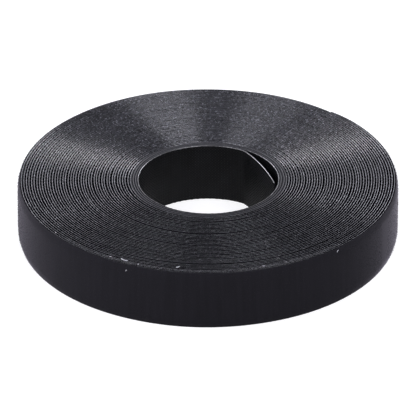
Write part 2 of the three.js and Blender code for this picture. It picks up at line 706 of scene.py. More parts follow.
@dataclass(frozen=True)
class Finishes:
    """The materials of the roll."""

    plastic: bpy.types.Material = field(default_factory=HookPlastic().make)
    slit_plastic: bpy.types.Material = field(default_factory=SlitPlastic().make)
    cut_plastic: bpy.types.Material = field(default_factory=CUT_HOOKS.make)
    cloth: bpy.types.Material = field(default_factory=LoopCloth().make)
    # Painted shade on the loop strip's slit edges
    slit_cloth_shaded: bpy.types.Material = field(default_factory=SLIT_CLOTH_SHADED.make)
    # Painted shade inside the gaps between turns
    pressed: bpy.types.Material = field(default_factory=PRESSED_SIDES_IN_SHADE.make)
    # The lip's finish is painted paler, as a highlight
    lip: bpy.types.Material = field(default_factory=LIP_HIGHLIGHT.make)
    tight: bpy.types.Material = field(default_factory=TIGHT_EDGE.make)
    felted: bpy.types.Material = field(default_factory=FELTED_PILE.make)
    # Loops over the rim, painted pale with glints
    frayed_and_glinting: bpy.types.Material = field(default_factory=FRAYED_LOOPS_GLINTING.make)
    filament: bpy.types.Material = field(default_factory=PileFilament().make)
    lint: bpy.types.Material = field(default_factory=LintFibre().make)

    def of(self, side: Side) -> list[bpy.types.Material]:
        """Materials of one strip.

        Args:
            side: Which strip.

        Returns:
            Its materials, in the order of its kinds of face.
        """
        if side is Side.HOOK:
            return [self.plastic, self.slit_plastic, self.pressed, self.tight, self.lip, self.plastic]
        # The loop strip's cut edges take the slit finish, with its painted shade
        cut = self.slit_cloth_shaded
        return [self.cloth, cut, self.pressed, cut, cut, self.filament]


def end_mesh(name: str, bm: bmesh.types.BMesh) -> bpy.types.Mesh:
    """Makes a mesh of a bmesh.

    Args:
        name: The mesh's name.
        bm: The bmesh, which is freed.

    Returns:
        The mesh.
    """
    mesh = bpy.data.meshes.new(name)
    bm.to_mesh(mesh)
    bm.free()
    return mesh


def points_of(mesh: bpy.types.Mesh) -> np.ndarray:
    """The points of a mesh.

    Args:
        mesh: The mesh.

    Returns:
        Rows of x, y and z.
    """
    flat = np.empty(len(mesh.vertices) * 3, np.float32)
    mesh.vertices.foreach_get("co", flat)
    return flat.reshape(-1, 3).astype(float)


def move_points(mesh: bpy.types.Mesh, points: np.ndarray) -> None:
    """Sets the points of a mesh from rows."""
    mesh.vertices.foreach_set("co", points.astype(np.float32).ravel())
    mesh.update()


def face_centres(mesh: bpy.types.Mesh) -> np.ndarray:
    """The middle of each face of a mesh.

    Args:
        mesh: The mesh.

    Returns:
        Rows of x, y and z.
    """
    flat = np.empty(len(mesh.polygons) * 3, np.float32)
    mesh.polygons.foreach_get("center", flat)
    return flat.reshape(-1, 3).astype(float)


def mark_faces(mesh: bpy.types.Mesh, chosen: Union[np.ndarray, slice], face: Face) -> None:
    """Gives some faces of a mesh the material of one kind of face.

    Args:
        mesh: The mesh.
        chosen: Which faces.
        face: The kind.
    """
    numbers = np.empty(len(mesh.polygons), np.int32)
    mesh.polygons.foreach_get("material_index", numbers)
    numbers[chosen] = face.value
    mesh.polygons.foreach_set("material_index", numbers)


def repeat_shape(bm: bmesh.types.BMesh, count: int, apart: tuple[float, float, float]) -> int:
    """Makes a row of a small shape.

    Args:
        bm: The bmesh that holds the shape.
        count: About how many there are in all.
        apart: From one to the next.

    Returns:
        How many there are.
    """
    block = max(1, math.isqrt(count))
    blocks = max(1, count // block)
    for copies, step in ((block, Vector(apart)), (blocks, Vector(apart) * block)):
        if copies > 1:
            geom = bm.verts[:] + bm.edges[:] + bm.faces[:]
            bmesh.ops.spin(
                bm, geom=geom, cent=(0, 0, 0), axis=(0, 0, 1), dvec=step, angle=0.0,
                steps=copies - 1, use_duplicate=True,
            )
    return block * blocks


def arched_fibre(radius: float, arch: float, bend: float, sides: int, steps: int) -> bmesh.types.BMesh:
    """An open tube that is bent to an arc about the Z axis.

    Args:
        radius: Half its thickness.
        arch: Radius of the arc.
        bend: Angle of the arc.
        sides: Faces round it.
        steps: Faces along it.

    Returns:
        The tube.
    """
    bm = bmesh.new()
    bmesh.ops.create_circle(bm, segments=sides, radius=radius)
    upright = Matrix.Rotation(math.pi / 2, 3, "X")
    bmesh.ops.rotate(bm, cent=(0, 0, 0), matrix=upright, verts=bm.verts)
    bmesh.ops.translate(bm, vec=(arch, 0, 0), verts=bm.verts)
    bmesh.ops.spin(
        bm, geom=bm.verts[:] + bm.edges[:], cent=(0, 0, 0), axis=(0, 0, 1), dvec=(0, 0, 0),
        angle=bend, steps=steps,
    )
    return bm


@dataclass(frozen=True)
class Stock:
    """Cuts lengths of the straight tape, and winds what stands on them into place.

    Attributes:
        winding: The spiral that they are wound into.
        hook_round: Rounding of the hook strip's slit edges, on the side of the hooks.
        loop_round: Rounding of the loop strip's slit edges, on the side of the loops.
        bonded_round: Rounding of both on the side of the film.
        slit_depth: How far in from the rim a face counts as slit edge.
        nap: Height of the brushed nap.
        nap_roots: How deep it starts in the cloth.
        nap_margin: How far it stops short of the rim.
        nap_bands: Faces across it.
        nap_lead: How far under the tip of the outer end it starts.
        nap_rise: Length over which it rises from there.
        nap_fall: Length over which it falls to the tip.
        nap_tip: Share of its height that is left there.
        nap_squareness: Power that makes its crown square.
        tight_turns: Innermost turns that lie tight.
        filling_margin: How far the engaged pile stops short of the rim.
        sharp_corner: Angle from which a corner is shaded sharp.
        bake_length: Length of tape after which the map for baking repeats.
    """

    winding: Winding
    hook_round: float = 0.2 * MM
    loop_round: float = 0.12 * MM
    bonded_round: float = 0.03 * MM
    slit_depth: float = 0.16 * MM
    nap: float = 0.87 * MM
    nap_roots: float = 0.06 * MM
    nap_margin: float = 0.12 * MM
    nap_bands: int = 14
    nap_lead: float = 0.8 * MM
    nap_rise: float = 1.2 * MM
    nap_fall: float = 12.0 * MM
    nap_tip: float = 0.12
    nap_squareness: int = 10
    tight_turns: int = 3
    filling_margin: float = 0.07 * MM
    sharp_corner: float = math.radians(60)
    bake_length: float = 40 * MM

    @property
    def tape(self) -> Tape:
        """The tape that is wound."""
        return self.winding.tape

    def wind(
        self, name: str, parts: Sequence[bpy.types.Mesh], finishes: Sequence[bpy.types.Material]
    ) -> bpy.types.Object:
        """Joins straight parts into one piece with its maps, and winds it into place.

        Args:
            name: The piece's name.
            parts: The straight meshes, which are used up.
            finishes: Its materials, by the number that its faces hold.

        Returns:
            The piece, at the origin.
        """
        bm = bmesh.new()
        for part in parts:
            bm.from_mesh(part)
            bpy.data.meshes.remove(part)
        mesh = end_mesh(name, bm)
        flat = points_of(mesh)
        self._lay_maps(mesh, flat)
        move_points(mesh, self.winding.place(flat))
        for finish in finishes:
            mesh.materials.append(finish)
        piece = bpy.data.objects.new(name, mesh)
        bpy.context.scene.collection.objects.link(piece)
        weighted = piece.modifiers.new("flat_sides", "WEIGHTED_NORMAL")
        weighted.mode = "FACE_AREA"
        weighted.keep_sharp = True
        return piece

    def _lay_maps(self, mesh: bpy.types.Mesh, flat: np.ndarray) -> None:
        """Lays a map in millimetres along the tape, and one for baking that repeats in short lengths.

        Args:
            mesh: The straight mesh.
            flat: Its points, as rows of run, depth and width.
        """
        seam = -0.75 * math.pi
        repeat = self.bake_length
        vertex = np.empty(len(mesh.loops), np.int32)
        mesh.loops.foreach_get("vertex_index", vertex)
        count = np.empty(len(mesh.polygons), np.int32)
        mesh.polygons.foreach_get("loop_total", count)
        face = np.repeat(np.arange(len(count)), count)
        corner = flat[vertex]
        centre = np.stack([np.bincount(face, corner[:, i]) for i in range(3)], axis=1) / count[:, None]
        shift = np.floor(centre[:, 0] / repeat)[face] * repeat
        round_section = self._angle(corner)
        turns = np.round((self._angle(centre)[face] - round_section) / FULL_TURN)
        wrapped = (round_section + turns * FULL_TURN - seam) / FULL_TURN
        bake = np.stack([(corner[:, 0] - shift) / repeat, wrapped], axis=1)
        for name, places in ((TAPE_MAP, corner[:, (0, 2)] / MM), (BAKE_MAP, np.clip(bake, 0, 1))):
            layer = mesh.uv_layers.new(name=name)
            layer.uv.foreach_set("vector", places.astype(np.float32).ravel())

    def _angle(self, points: np.ndarray) -> np.ndarray:
        """Angles round the tape's section, drawn as a square.

        Args:
            points: Rows of run, depth and width.

        Returns:
            The angle of each.
        """
        deep = 2 * points[:, 1] / self.tape.thickness - 1
        high = 2 * points[:, 2] / self.tape.width - 1
        return np.arctan2(high, deep)

    def strip(self, side: Side, start: float, end: float, step: float) -> bpy.types.Mesh:
        """A straight closed length of one strip, with rounded slit edges.

        Args:
            side: Which strip.
            start: Run where it starts.
            end: Run where it ends.
            step: Length of its faces.

        Returns:
            The mesh.
        """
        inner, outer = self.tape.layer(side)
        if side is Side.HOOK:
            rounds = ((inner, self.hook_round), (outer, self.bonded_round))
        else:
            rounds = ((outer, self.loop_round), (inner, self.bonded_round))
        bm = self._slab(start, end, step, (inner, outer))
        for depth, size in rounds:
            slit = [e for e in bm.edges if self._runs_along_slit(e, depth)]
            bmesh.ops.bevel(
                bm, geom=slit, offset=size, segments=2, profile=0.5, affect="EDGES", material=-1
            )
        mesh = self._smooth_mesh("strip", bm)
        run, _, height = face_centres(mesh).T
        slit = np.minimum(height, self.tape.width - height) < self.slit_depth
        mark_faces(mesh, slit, Face.SLIT)
        # On the hook strip these take the lip finish, painted paler as a highlight
        mark_faces(mesh, slit & (run < self.winding.first_turn), Face.LIP)
        return mesh

    def filling(self, start: float, end: float, step: float) -> bpy.types.Mesh:
        """A straight length of the engaged pile that fills the gap to the next turn.

        Args:
            start: Run where it starts.
            end: Run where it ends.
            step: Length of its faces.

        Returns:
            The mesh.
        """
        depths = (self.tape.thickness, self.tape.pitch)
        return self._smooth_mesh("filling", self._slab(start, end, step, depths, self.filling_margin))

    def nap_layer(self, start: float, end: float, step: float) -> bpy.types.Mesh:
        """A straight length of the brushed nap on the loop side, as a crowned layer.

        Args:
            start: Run where it starts.
            end: Run where it ends.
            step: Length of its faces.

        Returns:
            The mesh.
        """
        depths = (self.tape.thickness - self.nap_roots, self.tape.thickness)
        bm = self._slab(start, end, step, depths, self.nap_margin, self.nap_bands)
        mesh = self._smooth_mesh("nap", bm)
        points = points_of(mesh)
        outside = points[:, 1] > sum(depths) / 2
        points[outside, 1] += self.nap_height(points[outside, 0], points[outside, 2])
        move_points(mesh, points)
        return mesh

    def nap_height(self, run: np.ndarray, across: np.ndarray) -> np.ndarray:
        """Height of the nap, which stands up only where nothing lies on it.

        Args:
            run: Places along the tape.
            across: Places across it.

        Returns:
            The height at each place.
        """
        rise = np.clip((run - self.winding.bare_run + self.nap_lead) / self.nap_rise, 0, 1)
        fall = np.clip((self.winding.end_run - run) / self.nap_fall, 0, 1)
        side = np.clip(np.abs(2 * across / self.tape.width - 1), 0, 1)
        worn = self.nap_tip + (1 - self.nap_tip) * fall * (2 - fall)
        return self.nap * np.sqrt(1 - side**self.nap_squareness) * rise * (2 - rise) * worn

    def _slab(
        self,
        start: float,
        end: float,
        step: float,
        depths: tuple[float, float],
        margin: float = 0.0,
        bands: int = 1,
    ) -> bmesh.types.BMesh:
        """A straight closed slab along the tape.

        Args:
            start: Run where it starts.
            end: Run where it ends.
            step: Length of its faces.
            depths: Depths between which it lies.
            margin: Distance that it keeps from the rims.
            bands: Faces across it.

        Returns:
            The slab.
        """
        bm = bmesh.new()
        steps = max(2, round((end - start) / step))
        bmesh.ops.create_grid(bm, x_segments=steps, y_segments=bands, size=0.5)
        upright = Matrix.Rotation(math.pi / 2, 4, "X")
        sized = Matrix.Diagonal((end - start, 1, self.tape.width - 2 * margin, 1))
        placed = Matrix.Translation(((start + end) / 2, depths[0], self.tape.width / 2))
        bmesh.ops.transform(bm, matrix=placed @ sized @ upright, verts=bm.verts)
        grown = bmesh.ops.extrude_face_region(bm, geom=bm.faces[:], use_keep_orig=True)
        moved = [v for v in grown["geom"] if isinstance(v, bmesh.types.BMVert)]
        bmesh.ops.translate(bm, vec=(0, depths[1] - depths[0], 0), verts=moved)
        return bm

    def _smooth_mesh(self, name: str, bm: bmesh.types.BMesh) -> bpy.types.Mesh:
        """Makes a smoothly shaded mesh with sharp corners, and its faces turned outwards.

        Args:
            name: The mesh's name.
            bm: The bmesh, which is freed.

        Returns:
            The mesh.
        """
        bmesh.ops.recalc_face_normals(bm, faces=bm.faces[:])
        mesh = end_mesh(name, bm)
        mesh.shade_smooth()
        mesh.set_sharp_from_angle(angle=self.sharp_corner)
        return mesh

    def _runs_along_slit(self, edge: bmesh.types.BMEdge, depth: float) -> bool:
        """Whether an edge of a straight strip lies along the tape, at a rim and at a depth.

        Args:
            edge: The edge.
            depth: The depth.

        Returns:
            True where it does.
        """
        near = 0.01 * MM
        first, last = (v.co for v in edge.verts)
        at_slit = min(first.z, self.tape.width - first.z) < near and abs(first.y - depth) < near
        return at_slit and abs(last.z - first.z) < near and abs(last.y - first.y) < near


@dataclass(frozen=True)
class HookBed:
    """Moulded hooks in rows: tapered stems that lean over into blunt tips, every other row the other way.

    Attributes:
        stock: The tape that they stand on.
        height: How far they stand in from the sheet.
        foot: Length of a hook along the tape, where it stands.
        neck: Its length at the top of the stem, which is more on a longer foot.
        tip_taper: Length of its tip, as a share of the neck.
        stem_share: Share of the height that is stem.
        reach: How far it leans over.
        stem_lean: Share of that in the stem.
        breadth: Its width across the tape.
        tallest: Height of the tallest hook, as a share of the height.
        run_pitch: From one hook to the next along a row.
        row_pitch: From one row to the next.
        stray: How far along the tape a hook may lie from its place.
        unevenness: How much shorter than the tallest it may be, as a share of the height.
        cut_foot: Length of a hook in the outermost rows, where the knife has left a run of it.
        cut_pitch: From one of those to the next.
        cut_sunk: How far below the rim they lie.
        cut_stray: How far along the tape they may lie from their places.
        cut_unevenness: How much shorter than the tallest they may be, as a share of the height.
        seed: Seed of all these chances.
    """

    stock: Stock
    height: float = 0.37 * MM
    foot: float = 0.30 * MM
    neck: float = 0.18 * MM
    tip_taper: float = 0.8
    stem_share: float = 0.62
    reach: float = 0.24 * MM
    stem_lean: float = 0.15
    breadth: float = 0.22 * MM
    tallest: float = 1.04
    run_pitch: float = 1.28 * MM
    row_pitch: float = 0.62 * MM
    stray: float = 0.06 * MM
    unevenness: float = 0.06
    cut_foot: float = 1.6 * MM
    cut_pitch: float = 2.56 * MM
    cut_sunk: float = 0.24 * MM
    cut_stray: float = 0.2 * MM
    cut_unevenness: float = 0.2
    seed: int = 7

    def _hook(self, foot: float) -> bmesh.types.BMesh:
        """One hook, which stands inwards from the hook side at the start of the tape.

        Args:
            foot: Its length along the tape, where it stands.

        Returns:
            The hook.
        """
        bm = bmesh.new()
        bmesh.ops.create_grid(bm, x_segments=1, y_segments=1, size=0.5)
        upright = Matrix.Rotation(math.pi / 2, 4, "X")
        sized = Matrix.Diagonal((foot, 1, self.breadth, 1))
        bmesh.ops.transform(bm, matrix=sized @ upright, verts=bm.verts)
        top = bm.faces[:]
        for share, lean, taper in (
            (self.stem_share, self.stem_lean, self.neck / self.foot),
            (1 - self.stem_share, 1 - self.stem_lean, self.tip_taper),
        ):
            grown = bmesh.ops.extrude_face_region(bm, geom=top)
            top = [f for f in grown["geom"] if isinstance(f, bmesh.types.BMFace)]
            corners = [v for v in grown["geom"] if isinstance(v, bmesh.types.BMVert)]
            middle = sum((v.co for v in corners), Vector()) / len(corners)
            bmesh.ops.scale(bm, vec=(taper, 1, 1), verts=corners, space=Matrix.Translation(-middle))
            bmesh.ops.translate(bm, vec=(lean * self.reach, -share * self.height, 0), verts=corners)
        return bm

    def _mesh(
        self, bm: bmesh.types.BMesh, count: int, unevenness: float, stray: float
    ) -> bpy.types.Mesh:
        """Ends a bed of hooks, each a little unlike the next.

        Args:
            bm: The hooks, which are freed.
            count: How many there are.
            unevenness: How much shorter than the tallest one may be.
            stray: How far along the tape one may lie from its place.

        Returns:
            The straight mesh.
        """
        bmesh.ops.recalc_face_normals(bm, faces=bm.faces[:])
        mesh = end_mesh("hooks", bm)
        chance = np.random.default_rng(self.seed)
        points = points_of(mesh).reshape(count, -1, 3)
        points[:, :, 1] *= chance.uniform(self.tallest - unevenness, self.tallest, (count, 1))
        points[:, :, 0] += chance.uniform(-stray, stray, (count, 1))
        move_points(mesh, points.reshape(-1, 3))
        mesh.shade_flat()
        return mesh

    def row(self, start: float, end: float, rim: Rim) -> bpy.types.Mesh:
        """The outermost row of hooks along a slit edge, which the knife has cut through.

        Args:
            start: Run where it starts.
            end: Run where it ends.
            rim: Which edge.

        Returns:
            The straight mesh.
        """
        bm = self._hook(self.cut_foot)
        inset = self.cut_sunk + self.breadth / 2
        across = self.stock.tape.width - inset if rim is Rim.TOP else inset
        bmesh.ops.translate(bm, vec=(start + self.cut_foot / 2, 0, across), verts=bm.verts)
        count = repeat_shape(bm, int((end - start) / self.cut_pitch), (self.cut_pitch, 0, 0))
        return self._mesh(bm, count, self.cut_unevenness, self.cut_stray)

    def field(self, start: float, end: float) -> bpy.types.Mesh:
        """Hooks all over a length of the tape.

        Args:
            start: Run where they start.
            end: Run where they end.

        Returns:
            The straight mesh.
        """
        bm = self._hook(self.foot)
        bmesh.ops.translate(bm, vec=(start + self.foot / 2, 0, 0), verts=bm.verts)
        other = bmesh.ops.duplicate(bm, geom=bm.verts[:] + bm.edges[:] + bm.faces[:])["geom"]
        turned = [v for v in other if isinstance(v, bmesh.types.BMVert)]
        pivot = Matrix.Translation((-start - self.foot / 2, 0, 0))
        bmesh.ops.scale(bm, vec=(-1, 1, 1), verts=turned, space=pivot)
        bmesh.ops.translate(bm, vec=(self.run_pitch / 2, 0, self.row_pitch), verts=turned)
        pairs = int(self.stock.tape.width / (2 * self.row_pitch))
        first = (self.stock.tape.width - (2 * pairs - 1) * self.row_pitch) / 2
        bmesh.ops.translate(bm, vec=(0, 0, first), verts=bm.verts)
        count = 2 * repeat_shape(bm, int((end - start) / self.run_pitch), (self.run_pitch, 0, 0))
        count *= repeat_shape(bm, pairs, (0, 0, 2 * self.row_pitch))
        return self._mesh(bm, count, self.unevenness, self.stray)


@dataclass(frozen=True)
class LoopPile:
    """Brushed loops of fine filament that stand on the loop side.

    Attributes:
        stock: The tape that they stand on.
        band: Places across the tape between which they stand.
        filament: Radius of the filament.
        arch: Radius of a loop.
        pitch: From one loop to the next, both ways.
        sizes: Least and greatest size of a loop, as shares of the arch.
        lean: How much the loops lean, as the spread of their slopes.
        scatter: How far one may lie from its place, in pitches.
        rim_margin: How far they keep from the rims.
        seed: Seed of all these chances.
    """

    stock: Stock
    band: tuple[float, float]
    filament: float = 0.028 * MM
    arch: float = 0.24 * MM
    pitch: float = 1.0 * MM
    sizes: tuple[float, float] = (0.7, 1.25)
    lean: float = 0.45
    scatter: float = 0.45
    rim_margin: float = 0.1 * MM
    seed: int = 11

    def field(self, start: float, end: float) -> bpy.types.Mesh:
        """Loops all over a length of the tape, each turned, leant and sized by chance.

        Args:
            start: Run where they start.
            end: Run where they end.

        Returns:
            The straight mesh.
        """
        bm = arched_fibre(self.filament, self.arch, bend=math.pi, sides=3, steps=3)
        bmesh.ops.recalc_face_normals(bm, faces=bm.faces[:])
        low, high = self.band
        margin = self.pitch / 2
        bmesh.ops.translate(bm, vec=(start + margin, 0, low + margin), verts=bm.verts)
        count = repeat_shape(bm, int((end - start) / self.pitch), (self.pitch, 0, 0))
        count *= repeat_shape(bm, int((high - low) / self.pitch), (0, 0, self.pitch))
        mesh = end_mesh("pile", bm)
        self._vary(mesh, count)
        mesh.shade_smooth()
        return mesh

    def _vary(self, mesh: bpy.types.Mesh, count: int) -> None:
        """Turns, leans, sizes and shifts each loop by chance, and stands it in its place.

        Args:
            mesh: The loops.
            count: How many there are.
        """
        chance = np.random.default_rng(self.seed)
        points = points_of(mesh).reshape(count, -1, 3)
        middle = points.mean(axis=1, keepdims=True) * (1, 0, 1)
        sized = (points - middle) * chance.uniform(*self.sizes, (count, 1, 1))
        along, rise, aside = np.moveaxis(sized, 2, 0)
        turn = chance.uniform(0, math.pi, (count, 1))
        lean = chance.normal(0, self.lean, (count, 1))
        shift = chance.uniform(-self.scatter, self.scatter, (2, count, 1)) * self.pitch
        run = along * np.cos(turn) - aside * np.sin(turn) + lean * rise
        side = along * np.sin(turn) + aside * np.cos(turn) + lean * rise / 2
        placed = self._stand(middle[:, :, 0] + run + shift[0], middle[:, :, 2] + side + shift[1], rise)
        move_points(mesh, placed.reshape(-1, 3))

    def _stand(self, run: np.ndarray, side: np.ndarray, rise: np.ndarray) -> np.ndarray:
        """Stands loops on the cloth.

        Args:
            run: Places of their points along the tape.
            side: Places of them across the band.
            rise: Heights of them.

        Returns:
            Rows of run, depth and width.
        """
        across = np.clip(side, self.rim_margin, self.stock.tape.width - self.rim_margin)
        ground = self.stock.nap_height(run, across) + self.stock.tape.thickness - self.filament
        return np.stack([run, rise + ground, across], axis=-1)


@dataclass(frozen=True)
class RimFuzz(LoopPile):
    """Frayed loops that lie over the top edges of the outermost turns, in a band of depths.

    Attributes:
        band: Depths between which they lie, from the hook side of the outermost turn.
        filament: Radius of the filament.
        pitch: From one loop to the next, both ways.
        flattened: Share of their height that is left.
        shoulder: How steeply they lie down over the nap, outside the cloth.
    """

    band: tuple[float, float] = (-1.9 * MM, 0.65 * MM)
    filament: float = 0.036 * MM
    pitch: float = 0.43 * MM
    flattened: float = 0.45
    shoulder: float = 1.4

    def _stand(self, run: np.ndarray, side: np.ndarray, rise: np.ndarray) -> np.ndarray:
        """Lays loops on the top edges, and down the shoulder of the nap.

        Args:
            run: Places of their points along the tape.
            side: Depths of them.
            rise: Heights of them.

        Returns:
            Rows of run, depth and width.
        """
        beyond = np.clip(side - self.stock.tape.thickness, 0, None)
        across = self.stock.tape.width + self.flattened * rise - self.filament - self.shoulder * beyond
        return np.stack([run, side, across], axis=-1)


@dataclass(frozen=True)
class Speck:
    """One speck of lint.

    Attributes:
        azimuth: Where it clings, in degrees.
        inset: How far in from the cloth, or out if below zero.
        drop: How far below the top edge.
        length: Its length.
        girth: Its thickness.
        slant: Its turn from the line of the tape, in degrees.
    """

    azimuth: float
    inset: float
    drop: float
    length: float
    girth: float
    slant: float


@dataclass(frozen=True)
class Lint:
    """Specks of lint that cling to the front of the roll.

    Attributes:
        stock: The tape that they lie on.
        bend: Angle that each is bent by, from end to end.
        sides: Faces round each.
        steps: Faces along each.
        specks: The specks.
    """

    stock: Stock
    bend: float = 0.9
    sides: int = 6
    steps: int = 5
    specks: tuple[Speck, ...] = (
        Speck(215.6, 1.25 * MM, 0.0, 0.8 * MM, 0.26 * MM, 30),
        Speck(238.4, 2.2 * MM, 0.0, 0.75 * MM, 0.28 * MM, -40),
        Speck(243.1, 2.5 * MM, 0.0, 3.2 * MM, 0.34 * MM, 6),
        Speck(248.2, 1.7 * MM, 0.0, 0.75 * MM, 0.24 * MM, 60),
        Speck(260.7, 4.0 * MM, 0.0, 1.7 * MM, 0.3 * MM, -35),
        Speck(287.7, 2.2 * MM, 0.0, 0.8 * MM, 0.24 * MM, 20),
        Speck(312.6, -0.72 * MM, 0.95 * MM, 1.1 * MM, 0.22 * MM, 48),
        Speck(245.1, -0.92 * MM, 2.35 * MM, 0.75 * MM, 0.26 * MM, 50),
    )

    def meshes(self) -> list[bpy.types.Mesh]:
        """The specks, each a short bent fibre on the straight tape."""
        return [self._fibre(speck) for speck in self.specks]

    def _fibre(self, speck: Speck) -> bpy.types.Mesh:
        """One speck, lying on the top edge or on the wall.

        Args:
            speck: Its place and size.

        Returns:
            The straight mesh.
        """
        half = self.bend / 2
        curl = speck.length / self.bend
        bm = arched_fibre(speck.girth / 2, curl, self.bend, self.sides, self.steps)
        bmesh.ops.holes_fill(bm, edges=[e for e in bm.edges if e.is_boundary], sides=self.sides)
        bmesh.ops.recalc_face_normals(bm, faces=bm.faces[:])
        middle = Matrix.Translation((-curl * math.cos(half), -curl * math.sin(half), 0))
        turned = Matrix.Rotation(math.radians(90 + speck.slant) - half, 4, "Z")
        if speck.drop > 0:
            turned = Matrix.Rotation(math.pi / 2, 4, "X") @ turned
        run = self.stock.winding.outer_run(math.radians(speck.azimuth))
        tape = self.stock.tape
        place = Matrix.Translation((run, tape.thickness - speck.inset, tape.width - speck.drop))
        bmesh.ops.transform(bm, matrix=place @ turned @ middle, verts=bm.verts)
        mesh = end_mesh("fibre", bm)
        mesh.shade_smooth()
        return mesh


@dataclass(frozen=True)
class Cover:
    """All that stands on the two sides of the tape and lies along its rim.

    Attributes:
        stock: The tape.
        worn: Azimuths between which the loops lie loose over the rim.
    """

    stock: Stock
    worn: tuple[float, float] = (math.radians(221), math.radians(319))

    @property
    def hooks(self) -> HookBed:
        """The hooks of the hook side."""
        return HookBed(self.stock)

    @property
    def pile(self) -> LoopPile:
        """The loops of the loop side."""
        return LoopPile(self.stock, (0.0, self.stock.tape.width))

    def fuzz(self) -> bpy.types.Mesh:
        """The loose loops over the rim."""
        start, end = (self.stock.winding.outer_run(azimuth) for azimuth in self.worn)
        return RimFuzz(self.stock).field(start, end)

    def lint(self) -> list[bpy.types.Mesh]:
        """The lint that clings to the rim."""
        return Lint(self.stock).meshes()


@dataclass
class FreeEnd:
    """One loose end of the tape, in lengths, each joined to the next.

    Attributes:
        stock: What it is cut from.
        body: Start of the names of its pieces, and of the imported parts that they stand for.
        count: How many lengths it has.
        length: The length of one.
        bend_reach: How far a bend reaches from its flex line, in lengths, so that the bends join evenly.
        root_reach: How far the first bend reaches into the wound tape, in lengths.
        step: Length of its faces.
    """

    stock: Stock
    body: str
    count: int
    length: float
    bend_reach: float = (1 + math.sqrt(3)) / 2
    root_reach: float = 0.8
    step: float = 0.8 * MM

    def cut_run(self, index: int) -> float:
        """Run where a length is joined to the one before it, counted from 0. The last one is the tip."""
        raise NotImplementedError

    def span(self, index: int) -> tuple[float, float]:
        """Runs that one piece covers: from mid-length to mid-length, past the line where it flexes.

        Args:
            index: Its place along the end.

        Returns:
            The lower and the higher run.
        """
        here, after = self.cut_run(index), self.cut_run(index + 1)
        near = here - (self.root_reach if index == 0 else 0.5) * (after - here)
        far = after if index == self.count - 1 else (here + after) / 2
        return min(near, far), max(near, far)

    def bend(self, index: int) -> tuple[float, float]:
        """Runs between which one piece bends, so that it meets the next one at mid-length.

        Args:
            index: Its place along the end.

        Returns:
            The runs before and after the line where it flexes.
        """
        here = self.cut_run(index)
        length = self.cut_run(index + 1) - here
        before = after = self.bend_reach
        if index == 0:
            bent_at_middle = (0.5 + self.bend_reach) / (2 * self.bend_reach)
            before = self.root_reach
            after = (0.5 + self.root_reach) / bent_at_middle - self.root_reach
        return here - before * length, here + after * length

    def build(self, finishes: Finishes, cover: Cover) -> list[bpy.types.Object]:
        """Makes the pieces of both strips.

        Args:
            finishes: The materials.
            cover: What stands on both sides.

        Returns:
            The pieces.
        """
        made = []
        for index in range(self.count):
            start, end = self.span(index)
            for side, stand in ((Side.HOOK, cover.hooks), (Side.LOOP, cover.pile)):
                standing = stand.field(start, end)
                mark_faces(standing, slice(None), Face.STANDING)
                parts = [self.stock.strip(side, start, end, self.step), standing]
                if side is Side.LOOP and start > self.stock.winding.bare_run:
                    parts.append(self.stock.nap_layer(start, end, self.step))
                name = f"{self.body}_{side.value}_side_{index + 1}"
                piece = self.stock.wind(name, parts, finishes.of(side))
                self._dress(piece, side, index)
                made.append(piece)
        return made

    def _dress(self, piece: bpy.types.Object, side: Side, index: int) -> None:
        """Bakes a piece's place into its mesh and hides the imported part that it stands for. Where it
        would bend is worked out but not used.

        Args:
            piece: The piece.
            side: Its strip.
            index: Its place along the end.
        """
        depth = self.stock.tape.thickness / 2
        ends = [self.stock.winding.point(run, depth) for run in self.bend(index)]
        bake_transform(piece)
        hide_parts(f"{self.body}_{side.value}_{index + 1}")


@dataclass
class OuterEnd(FreeEnd):
    """The free outer end, which lies on the roll and peels off it."""

    body: str = "outer_tail"
    count: int = 6
    length: float = 13.4 * MM

    def cut_run(self, index: int) -> float:
        """Run where a length is joined to the one before it.

        Args:
            index: The length's place along the end, counted from 0. The last one is the tip.

        Returns:
            The run.
        """
        winding = self.stock.winding
        step = self.length / winding.outer_radius
        return winding.run_at(winding.end_angle - (self.count - index) * step)


@dataclass
class InnerEnd(FreeEnd):
    """The loose inner end, which curls off the wall into the bore."""

    body: str = "inner_tail"
    count: int = 3
    length: float = 10.4 * MM

    def cut_run(self, index: int) -> float:
        """Run where a length is joined to the one before it, counted from 0. The last one is the tip."""
        return -index * self.length


